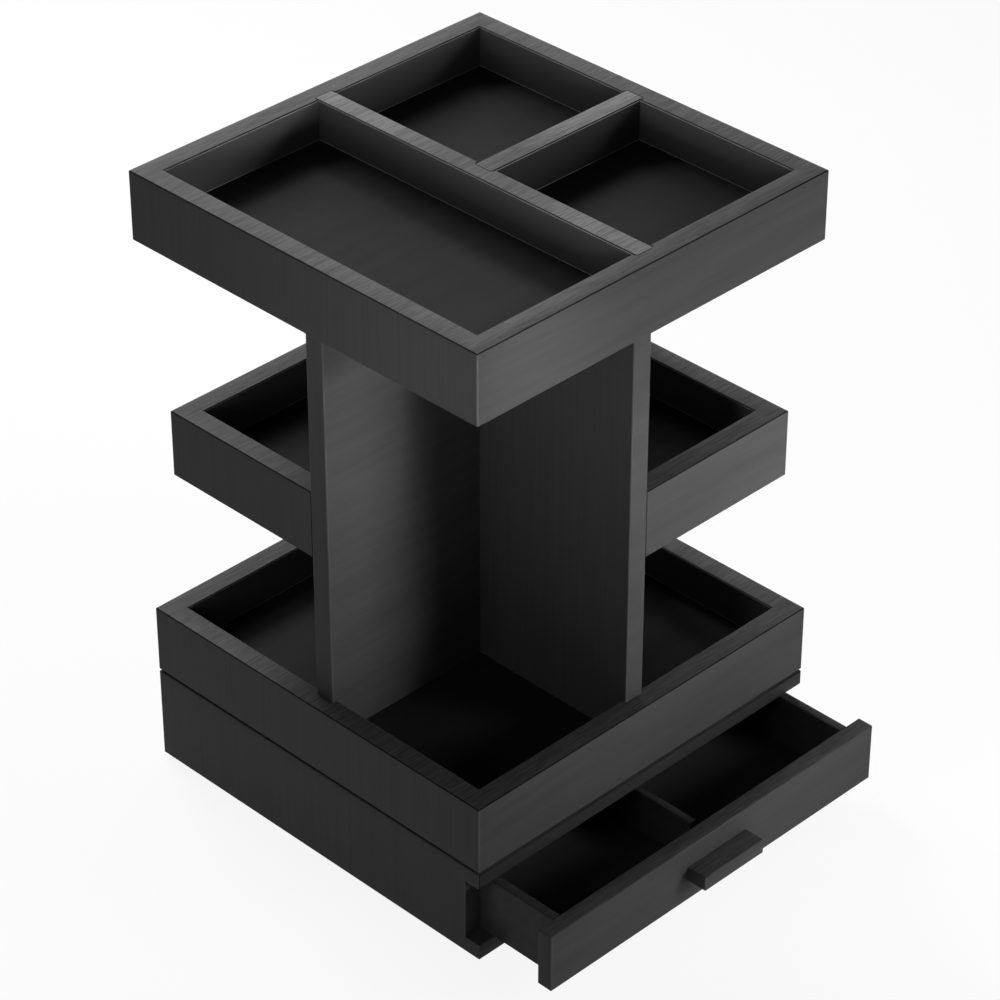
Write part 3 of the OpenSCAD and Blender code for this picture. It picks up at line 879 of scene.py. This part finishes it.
def weld(node: str, grid: float = 1e-7) -> Surface:
    """Reads a CAD node and merges its loose triangles.

    Args:
        node: the CAD node's name.
        grid: points that agree to this are one, in metres.

    Returns:
        Its surface, in metres.
    """
    source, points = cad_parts[node].data, node_points(node)
    source.calc_loop_triangles()
    triangles = np.empty(len(source.loop_triangles) * 3, np.int32)
    source.loop_triangles.foreach_get("vertices", triangles)
    cells = np.round(points / grid).astype(np.int64)
    _, first, group = np.unique(cells, axis=0, return_index=True, return_inverse=True)
    triangles = group.ravel()[triangles].reshape(-1, 3)
    whole = (triangles != np.roll(triangles, 1, axis=1)).all(axis=1)
    return Surface(points[first], triangles[whole])


def even_angles(count: int) -> Array:
    """Returns count angles that share out a full turn evenly."""
    return np.arange(count) * 2 * np.pi / count


def turned(radii: Array, heights: Array, angles: Array, poles: Range) -> Surface:
    """Turns a profile round the Z axis.

    The point at row i and column j is (r cos a, r sin a, h), with the radius r
    at (i, j), the angle a at j and the height h at i. Rows run from the first
    pole to the last, and columns run anticlockwise as seen from the last, so
    faces point outwards.

    Args:
        radii: one radius for each row, or one for each row and column.
        heights: one height for each row.
        angles: one angle for each column, in radians.
        poles: the heights of the points on the axis that close the two ends.

    Returns:
        The closed surface.
    """
    rows, columns = len(heights), len(angles)
    radii = np.broadcast_to(radii if radii.ndim == 2 else radii[:, None], (rows, columns))
    levels = np.broadcast_to(heights[:, None], radii.shape)
    rings = np.stack([radii * np.cos(angles), radii * np.sin(angles), levels], axis=-1)
    points = np.vstack([rings.reshape(-1, 3), [(0.0, 0.0, pole) for pole in poles]])
    here = np.arange(columns)
    after = np.roll(here, -1)
    row = columns * np.arange(rows - 1)[:, None]
    a, b, c, d = row + here, row + after, row + columns + after, row + columns + here
    sides = np.stack([np.stack([a, b, c], axis=-1), np.stack([a, c, d], axis=-1)]).reshape(-1, 3)
    first = np.full(columns, rows * columns)
    last = columns * (rows - 1)
    bottom = np.stack([first, after, here], axis=-1)
    top = np.stack([first + 1, last + here, last + after], axis=-1)
    return Surface(points, np.vstack([sides, bottom, top]))


class Inward(Enum):
    """Which upright faces of a board look into a tray."""

    NONE = "none"
    FACES_TO_AXIS = "faces to axis"
    ALL = "all"

    def sees(self, outward: Array, nearest: float = 20 * MM) -> Array:
        """Marks the faces that look into a tray.

        Args:
            outward: how far out each face lies along its own normal, negative
                where it looks at the turntable's axis.
            nearest: faces nearer than this, in metres, are ends that meet a panel.

        Returns:
            Whether each face looks into a tray.
        """
        if self is Inward.NONE:
            return np.zeros(len(outward), bool)
        return (outward < -nearest) | (self is Inward.ALL)


@dataclass(frozen=True)
class Skin:
    """A CAD node's own surface, welded, so that its arrises shade as rounded edges.

    The corner attribute band is 1 on the banded edges of the board. The
    attribute band_joint is 1 where a bevel touches such an edge, for the fine
    line between band and face. The attribute inside is 1 on upright faces that
    look into a tray, lip_highlight is 1 where a bevel touches such a face, for a
    painted highlight along the lip, and arris is 1 on upright bevels,
    for a painted highlight along them. The leans are cosines: a face leans 20
    degrees at most from a direction, a bevel 20 to 70 degrees.
    """

    node: str
    banded: tuple[Point, ...] = ()
    inward: Inward = Inward.NONE
    crease_deg: float = 50.0
    face_lean: float = 0.94
    bevel_lean: float = 0.34
    upright_lean: float = 0.1
    joint_lean: float = 0.97
    lip_highlight_lean: float = 0.25

    def build(self) -> Piece:
        """Makes the welded piece, with its marks, in place of its CAD node.

        Returns:
            The piece.
        """
        surface = weld(self.node)
        normals = surface.corner_normals(self.crease_deg)
        piece = surface.piece(f"{self.node}_skin", normals)
        for name, values in self.marks(surface, normals).items():
            layer = piece.data.attributes.new(name, "FLOAT", "CORNER")
            layer.data.foreach_set("value", values.astype(np.float32))
        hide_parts(self.node)
        return piece

    def bevels(self, lean: Array) -> Array:
        """Returns which faces are bevels, from their lean towards a direction."""
        return (lean > self.bevel_lean) & (lean < self.face_lean)

    def marks(self, surface: Surface, normals: Array) -> dict[str, Array]:
        """Marks the corners for the finish.

        A bevel's corner is on the joint if its own normal has turned to the
        banded direction, and on the lip, which gets a painted highlight, if it
        has turned to the inside face.

        Args:
            surface: the board's surface.
            normals: one unit normal for each corner.

        Returns:
            The attributes band, band_joint, inside, lip_highlight and
            arris, one value for each corner.
        """
        unit = surface.face_normals()[0].repeat(3, axis=0)
        band = np.zeros(len(normals), bool)
        joint = np.zeros(len(normals), bool)
        for towards in self.banded:
            lean = unit @ towards
            band |= lean >= self.face_lean
            joint |= self.bevels(lean) & (normals @ towards > self.joint_lean)
        upright = np.abs(unit[:, 2]) < self.upright_lean
        centre = (surface.points[surface.triangles].mean(axis=1) * LEVEL).repeat(3, axis=0)
        sees = self.inward.sees((unit * centre).sum(axis=1))
        # Painted highlight: the lip is where a bevel turns to an inside face.
        lip_highlight = self.bevels(unit[:, 2]) & (normals[:, 2] < self.lip_highlight_lean) & sees
        # Marks upright bevels for a painted highlight.
        arris = upright & (np.abs(unit[:, :2]).max(axis=1) < self.face_lean)
        inside = upright & sees
        return {"band": band, "band_joint": joint, "inside": inside, "lip_highlight": lip_highlight, "arris": arris}


@dataclass(frozen=True)
class Fitting:
    """Screws, dowels, balls or feet: one surface at each solid of a CAD node.

    A surface stands on its local Z axis with its head or upper end at the
    origin, in millimetres, and is carried to its solid's place. Points within
    near_end of a solid's end show how far that end reaches out.
    """

    node: str
    axis: int | None = None
    crease_deg: float = 35.0
    near_end: float = 0.2

    def surface(self, length: float, width: float) -> Surface:
        """Works out one piece.

        Args:
            length: the solid's length along its axis.
            width: the solid's width across it.

        Returns:
            The surface of one piece, below the origin.
        """
        raise NotImplementedError

    def stance(self, solid: Array) -> tuple[Array, Array, float, float]:
        """Reads where a solid stands and how large it is.

        Its axis is its longest side, unless one is given. Its head is at the
        end where its points reach further out, or at the upper end.

        Args:
            solid: the solid's points, in millimetres.

        Returns:
            Three rows for the local axes, the origin, the length and the width.
        """
        low, high = solid.min(axis=0), solid.max(axis=0)
        axis = int(np.argmax(high - low)) if self.axis is None else self.axis
        origin = (low + high) / 2
        across = np.delete(np.arange(3), axis)
        reach = np.linalg.norm((solid - origin)[:, across], axis=1)
        upper = reach[solid[:, axis] > high[axis] - self.near_end].max()
        lower = reach[solid[:, axis] < low[axis] + self.near_end].max()
        sign = 1.0 if upper > lower - self.near_end else -1.0
        up = np.eye(3)[axis] * sign
        side = np.eye(3)[(axis + 1) % 3]
        origin[axis] = high[axis] if sign > 0 else low[axis]
        axes = np.stack([side, np.cross(up, side), up])
        return axes, origin, float((high - low)[axis]), float((high - low)[across].max())

    def build(self) -> Piece:
        """Makes one piece with every copy in it, in place of the CAD node.

        Returns:
            The piece.
        """
        placed, numbered, count = [], [], 0
        for solid in weld(self.node).solids():
            axes, origin, length, width = self.stance(solid / MM)
            one = self.surface(length, width)
            placed.append((one.points @ axes + origin) * MM)
            numbered.append(one.triangles + count)
            count += len(one.points)
        whole = Surface(np.vstack(placed), np.vstack(numbered))
        piece = whole.piece(f"{self.node}_detail", whole.corner_normals(self.crease_deg))
        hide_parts(self.node)
        return piece


@dataclass(frozen=True)
class WoodScrews(Fitting):
    """Countersunk wood screws with a cross recess and a cut thread.

    The thread's ridge rises and falls over crest_share of the pitch each way.
    """

    shank: float = 1.5
    core: float = 1.08
    pitch: float = 1.3
    crest_share: float = 0.3
    rows_per_turn: int = 10
    thread_gap: float = 0.05
    neck: float = 2.4
    neck_cone: float = 0.3
    tip: float = 1.5
    tip_share: float = 0.2
    rim: float = 0.12
    rim_round: float = 0.08
    arm_half: float = 1.5
    arm_width: float = 0.8
    recess: float = 1.2
    recess_taper: float = 0.82

    def surface(self, length: float, width: float) -> Surface:
        """Works out one screw.

        From the tip up, the radius at height h and angle a is the core's, plus
        the thread's depth times a ridge of h / pitch - a / turn, whose crest is
        narrow. It narrows to a point over the tip and runs out below the neck.
        Then come the smooth neck, the cone, the rim and the cross recess, whose
        outline is the polar form of two crossed bars.

        Args:
            length: from the tip to the head's face.
            width: the head's diameter.

        Returns:
            The surface, with the head's face at height 0.
        """
        corner = math.atan2(self.arm_width / 2, self.arm_half)
        steps = np.array([-math.pi / 4, -math.pi / 6, -corner, 0.0, corner, math.pi / 6])
        angles = (even_angles(4)[:, None] + steps).ravel()
        head = width / 2
        low, high = self.thread_gap - length, self.shank - head - self.neck
        rows = round((high - low) / self.pitch * self.rows_per_turn)
        thread = np.linspace(low, high, rows)[:, None]
        phase = (thread / self.pitch - angles / (2 * math.pi)) % 1.0
        ridge = np.clip(1.0 - np.abs(phase - 0.5) / self.crest_share, 0.0, 1.0)
        runout = np.clip((high - thread) / self.pitch, 0.0, 1.0)
        point = self.tip_share + (1.0 - self.tip_share) * (thread + length) / self.tip
        radii = self.core + (self.shank - self.core) * ridge * runout
        radii = radii * np.clip(point, self.tip_share, 1.0)
        turn = np.abs((angles + math.pi / 4) % (math.pi / 2) - math.pi / 4)
        arm_end = self.arm_half / np.cos(turn)
        arm_side = self.arm_width / 2 / np.sin(np.maximum(turn, corner))
        bar = np.minimum(arm_end, arm_side)
        upper = (
            (high + self.thread_gap, self.core),
            (high + self.neck_cone, self.shank),
            (self.shank - head, self.shank),
            (-self.rim, head - self.rim),
            (-self.rim_round, head),
            (0.0, head - self.rim_round),
            (0.0, bar),
            (self.rim - self.recess, self.recess_taper * bar),
        )
        radii = np.vstack([radii, *(np.broadcast_to(radius, bar.shape) for _, radius in upper)])
        heights = np.append(thread, [height for height, _ in upper])
        return turned(radii, heights, angles, (-length, -self.recess))


@dataclass(frozen=True)
class Dowels(Fitting):
    """Beech dowels with bevelled ends and pressed flutes."""

    flutes: int = 16
    columns_per_flute: int = 4
    flute_depth: float = 0.05
    bevel: float = 0.5
    bevel_share: float = 0.125

    def surface(self, length: float, width: float) -> Surface:
        """Works out one dowel.

        Between its bevels the radius is the dowel's, less a cosine ripple of
        one wave for each flute.

        Args:
            length: from end to end.
            width: the dowel's diameter.

        Returns:
            The surface, with the upper end at height 0.
        """
        angles = even_angles(self.columns_per_flute * self.flutes)
        radius, bevel = width / 2, min(self.bevel, self.bevel_share * width)
        ripple = radius * (1.0 - self.flute_depth * (0.5 - 0.5 * np.cos(self.flutes * angles)))
        end = np.full(len(angles), radius - bevel)
        radii = np.stack([end, ripple, ripple, end])
        heights = np.array([-length, bevel - length, -bevel, 0.0])
        return turned(radii, heights, angles, (-length, 0.0))


@dataclass(frozen=True)
class Balls(Fitting):
    """Polished steel balls."""

    axis: int | None = 2
    rows: int = 13
    columns: int = 24

    def surface(self, length: float, width: float) -> Surface:
        """Works out one ball.

        Radius and height are the cosine and sine of the latitude.

        Args:
            length: the ball's diameter.
            width: the same diameter, across.

        Returns:
            The surface, with the upper pole at height 0.
        """
        radius = max(length, width) / 2
        latitude = np.linspace(-math.pi / 2, math.pi / 2, self.rows + 2)[1:-1]
        radii, heights = radius * np.cos(latitude), radius * (np.sin(latitude) - 1.0)
        return turned(radii, heights, even_angles(self.columns), (-2 * radius, 0.0))


@dataclass(frozen=True)
class Feet(Fitting):
    """Round rubber pads with a soft lower edge and a shallow dish below."""

    axis: int | None = 2
    crease_deg: float = 40.0
    edge_radius: float = 0.9
    edge_points: int = 7
    upper_bevel: float = 0.15
    dish: float = 0.25
    dish_edge: float = 2.4
    dish_slope: float = 0.4
    columns: int = 64

    def surface(self, length: float, width: float) -> Surface:
        """Works out one foot.

        From the dish outwards the profile runs down to a flat ring, round a
        quarter circle and up the side.

        Args:
            length: the foot's height.
            width: its diameter.

        Returns:
            The surface, with the upper face at height 0.
        """
        radius, edge, bevel = width / 2, self.edge_radius, self.upper_bevel
        arc = np.linspace(0.0, math.pi / 2, self.edge_points)
        inner = radius - self.dish_edge
        dish_radii, side_radii = [inner - self.dish_slope, inner], [radius, radius - bevel]
        radii = np.concatenate([dish_radii, radius - edge + edge * np.sin(arc), side_radii])
        side = [length - bevel, length]
        heights = np.concatenate([[self.dish, 0.0], edge - edge * np.cos(arc), side]) - length
        return turned(radii, heights, even_angles(self.columns), (self.dish - length, 0.0))


@dataclass
class SubAssembly:
    """A group of pieces that ride on one body."""

    paint: Paint
    body: Body = Body.BASE

    def build(self) -> None:
        """Makes every piece of the group."""
        raise NotImplementedError

    def skin(
        self,
        node: str,
        slot: Slot = Slot.LAMINATE,
        banded: tuple[Point, ...] = (),
        inward: Inward = Inward.NONE,
    ) -> None:
        """Shows a CAD node as a welded skin.

        Args:
            node: the CAD node's name.
            slot: the record's material slot.
            banded: the directions in which the board's edge bands look.
            inward: which of its upright faces look into a tray.
        """
        self.finish(Skin(node, banded, inward), slot)

    def finish(self, maker: Skin | Fitting, slot: Slot) -> None:
        """Builds a piece, dresses it, sets it on its body and reports it.

        Args:
            maker: the skin or fitting.
            slot: the record's material slot.
        """
        piece = maker.build()
        self.paint.dress(piece, slot, self.body)
        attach(piece, self.body.value)
        faces = len(piece.data.polygons)
        LOG.info("%s: %s on %s, %d faces", piece.name, slot.value, self.body.value, faces)


@dataclass
class Base(SubAssembly):
    """The box that stands on the table, with its feet, screws and dowels."""

    boards: tuple[str, ...] = ("base_bottom", "base_left_side", "base_right_side", "base_back")

    def build(self) -> None:
        """Makes every piece of the base."""
        for board in self.boards:
            self.skin(board)
        self.skin("base_top", banded=(FRONT,))
        self.finish(Feet("rubber_feet"), Slot.RUBBER)
        self.finish(WoodScrews("base_screws"), Slot.SCREW)
        self.finish(Dowels("base_dowels"), Slot.BEECH)


@dataclass
class BearingOuter(SubAssembly):
    """The part of the bearing that stays with the base."""

    def build(self) -> None:
        """Makes the outer ring, its screws and the balls."""
        self.skin("bearing_outer_ring", Slot.ALUMINIUM)
        self.finish(WoodScrews("bearing_outer_screws"), Slot.SCREW)
        self.finish(Balls("bearing_balls"), Slot.BALL)


@dataclass
class BearingInner(SubAssembly):
    """The part of the bearing that turns with the trays."""

    body: Body = Body.CAROUSEL

    def build(self) -> None:
        """Makes the inner ring and its screws."""
        self.skin("bearing_inner_ring", Slot.ALUMINIUM)
        self.finish(WoodScrews("bearing_inner_screws"), Slot.SCREW)


@dataclass
class Carousel(SubAssembly):
    """The trays and panels that turn."""

    body: Body = Body.CAROUSEL
    panels: tuple[str, ...] = ("main_panel", "left_panel", "right_panel")
    walls: tuple[str, ...] = (
        "lower_front_wall",
        "lower_right_wall",
        "lower_back_wall",
        "lower_left_wall",
        "mid_left_side_wall",
        "mid_left_back_wall",
        "mid_right_side_wall",
        "mid_right_front_wall",
        "top_front_wall",
        "top_right_wall",
        "top_back_wall",
        "top_left_wall",
    )
    dividers: tuple[str, ...] = ("long_divider", "short_divider")
    floors: tuple[str, ...] = ("lower_floor", "mid_left_floor", "mid_right_floor", "top_floor")

    def build(self) -> None:
        """Makes every board, floor and fastening of the carousel."""
        for panel in self.panels:
            self.skin(panel)
        for wall in self.walls:
            self.skin(wall, banded=(UP,), inward=Inward.FACES_TO_AXIS)
        for divider in self.dividers:
            self.skin(divider, banded=(UP,), inward=Inward.ALL)
        for floor in self.floors:
            self.skin(floor, Slot.LINING)
        self.finish(WoodScrews("panel_screws"), Slot.SCREW)
        self.finish(Dowels("mid_tray_dowels"), Slot.BEECH)
        self.finish(Dowels("top_tray_dowels"), Slot.BEECH)


@dataclass
class Drawer(SubAssembly):
    """The drawer."""

    body: Body = Body.DRAWER
    outside: tuple[str, ...] = ("drawer_front", "drawer_handle")
    inside: tuple[str, ...] = (
        "drawer_left_side",
        "drawer_right_side",
        "drawer_back",
        "drawer_bottom",
        "drawer_partition",
    )

    def build(self) -> None:
        """Makes the front, the handle, the box behind them and the fastenings."""
        for board in self.outside:
            self.skin(board)
        for board in self.inside:
            self.skin(board, Slot.LINING)
        self.finish(Dowels("drawer_dowels"), Slot.BEECH)
        self.finish(WoodScrews("handle_screws"), Slot.SCREW)


# Studio


def direction(azimuth: float, elevation: float) -> Vector:
    """Returns the unit vector towards a viewer.

    Azimuth 0 is towards -Y and 90 towards +X, as in the tools' views.

    Args:
        azimuth: degrees round from -Y towards +X.
        elevation: degrees above the horizon.

    Returns:
        (sin az cos el, -cos az cos el, sin el).
    """
    a, e = math.radians(azimuth), math.radians(elevation)
    return Vector((math.sin(a) * math.cos(e), -math.cos(a) * math.cos(e), math.sin(e)))


@dataclass(frozen=True)
class Softbox:
    """A rectangular soft lamp that looks at a point.

    Its name says where it stands or what it lights. Sizes are in metres, and
    spread_deg is the full angle of its beam.
    """

    name: str
    azimuth: float
    elevation: float
    distance: float
    width: float
    height: float
    radiance: float
    aim: Point = (0.0, 0.0, 0.2)
    spread_deg: float = 180.0

    def build(self) -> None:
        """Makes the lamp, which the camera doesn't see.

        Its power is radiance times pi times its area, so that a mirror that
        looks at it sees that radiance.
        """
        light = bpy.data.lights.new(self.name, "AREA")
        light.shape = "RECTANGLE"
        light.size = self.width
        light.size_y = self.height
        light.energy = self.radiance * math.pi * self.width * self.height
        light.spread = math.radians(self.spread_deg)
        lamp = add_object(self.name, light)
        lamp.visible_camera = False
        back = direction(self.azimuth, self.elevation)
        lamp.location = Vector(self.aim) + back * self.distance
        lamp.rotation_euler = back.to_track_quat("Z", "Y").to_euler()


@dataclass(frozen=True)
class PhotoCamera:
    """The camera that was fitted to the photograph."""

    azimuth: float = -44.693
    elevation: float = 34.226
    roll: float = -0.179
    distance: float = 1.6195
    target: Point = (0.0, 0.0, 0.129675)
    focal_px: float = 3785.2
    centre_px: Range = (479.67, 515.62)
    image_px: float = 1000.0
    sensor: float = 36.0
    clip: Range = (0.05, 50.0)

    def build(self) -> None:
        """Makes the camera and sets it as the scene's own."""
        data = bpy.data.cameras.new("photo_camera")
        data.sensor_width = self.sensor
        data.lens = self.sensor * self.focal_px / self.image_px
        data.shift_x = 0.5 - self.centre_px[0] / self.image_px
        data.shift_y = self.centre_px[1] / self.image_px - 0.5
        data.clip_start, data.clip_end = self.clip
        back, right = direction(self.azimuth, self.elevation), direction(self.azimuth + 90.0, 0.0)
        turn = Matrix((right, back.cross(right), back)).transposed()
        turn = turn @ Matrix.Rotation(math.radians(self.roll), 3, "Z")
        camera = add_object("photo_camera", data)
        place = Vector(self.target) + back * self.distance
        camera.matrix_world = Matrix.Translation(place) @ turn.to_4x4()
        bpy.context.scene.camera = camera


@dataclass(frozen=True)
class Studio:
    """Floor, lamps, world and camera.

    The lamps behind shine on the edges that look up, and those at the sides
    light the faces that the camera sees. Each beam is a narrow pool of light on
    the one part that the photograph shows brighter.
    """

    floor_reach: float = 6.0
    ambient: float = 0.05
    lamps: tuple[Softbox, ...] = (
        Softbox("back_near", 140.0, 34.0, 0.5, 0.25, 0.12, 8.8, (0.0, 0.0, 0.31)),
        Softbox("back_left", 170.0, 34.0, 1.2, 0.5, 0.4, 25.0, (0.0, 0.0, 0.28)),
        Softbox("back_low", 135.0, 14.0, 0.8, 0.6, 0.2, 2.9, (0.0, 0.0, 0.29)),
        Softbox("far_left", -85.0, 15.0, 1.0, 0.5, 0.3, 2.8),
        Softbox("right_wide", 28.0, 12.0, 1.0, 0.3, 0.25, 14.0, (0.0, 0.0, 0.18)),
        Softbox("right_near", 20.0, 3.0, 0.3, 0.1, 0.1, 16.0, (0.07, -0.1, 0.165)),
        Softbox("key_beam", 29.0, 14.0, 1.0, 0.18, 0.2, 0.7, (-0.07, -0.08, 0.2), 28.0),
        Softbox("upper_beam", 29.0, 14.0, 1.0, 0.1, 0.1, 1.0, (-0.08, -0.09, 0.255), 13.0),
        Softbox("panel_beam", 28.0, 3.0, 0.5, 0.06, 0.06, 1.2, (-0.08, -0.005, 0.2), 18.0),
        Softbox("tray_beam", 15.0, 3.0, 0.5, 0.1, 0.1, 0.7, (0.05, -0.1, 0.172), 24.0),
        Softbox("side_beam", 30.0, 3.0, 0.5, 0.1, 0.1, 1.6, (0.09, -0.1, 0.18), 20.0),
        Softbox("left_beam", -75.0, 5.0, 0.5, 0.1, 0.1, 1.2, (-0.1, -0.08, 0.285), 30.0),
        Softbox("corner_beam", -15.0, 3.0, 0.5, 0.04, 0.04, 1.9, (-0.075, -0.1, 0.282), 11.0),
        Softbox("drawer_beam", 20.0, 3.0, 0.5, 0.1, 0.1, 0.7, (0.02, -0.14, 0.022), 26.0),
    )

    def build(self) -> None:
        """Makes the studio and sets the plain view transform."""
        PhotoCamera().build()
        self.make_floor()
        for lamp in self.lamps:
            lamp.build()
        self.make_world()
        bpy.context.scene.view_settings.view_transform = "Standard"

    def make_floor(self) -> None:
        """Makes the flat floor at the height of the feet."""
        corners = np.array([(-1.0, -1.0, 0.0), (1.0, -1.0, 0.0), (1.0, 1.0, 0.0), (-1.0, 1.0, 0.0)])
        floor = new_piece("studio_floor", corners * self.floor_reach, np.arange(4)[None])
        floor.data.materials.append(FloorFinish().build())

    def make_world(self) -> None:
        """Sets a world that is white to look at and in reflections, and lights softly."""
        world = bpy.data.worlds.new("studio_world")
        bpy.context.scene.world = world
        world.use_nodes = True
        g = Graph(world.node_tree, "ShaderNodeOutputWorld")
        lit, seen = (
            g.add("ShaderNodeBackground", {"Color": WHITE, "Strength": strength}).outputs[0]
            for strength in (self.ambient, 1.0)
        )
        g.show(lit, seen)


def main() -> None:
    """Builds the studio, then every sub-assembly from the floor up."""
    logging.basicConfig(level=logging.INFO, format="%(name)s: %(message)s")
    Studio().build()
    paint = Paint()
    for part in (Base, BearingOuter, BearingInner, Carousel, Drawer):
        part(paint).build()


if __name__ == "__main__":
    main()
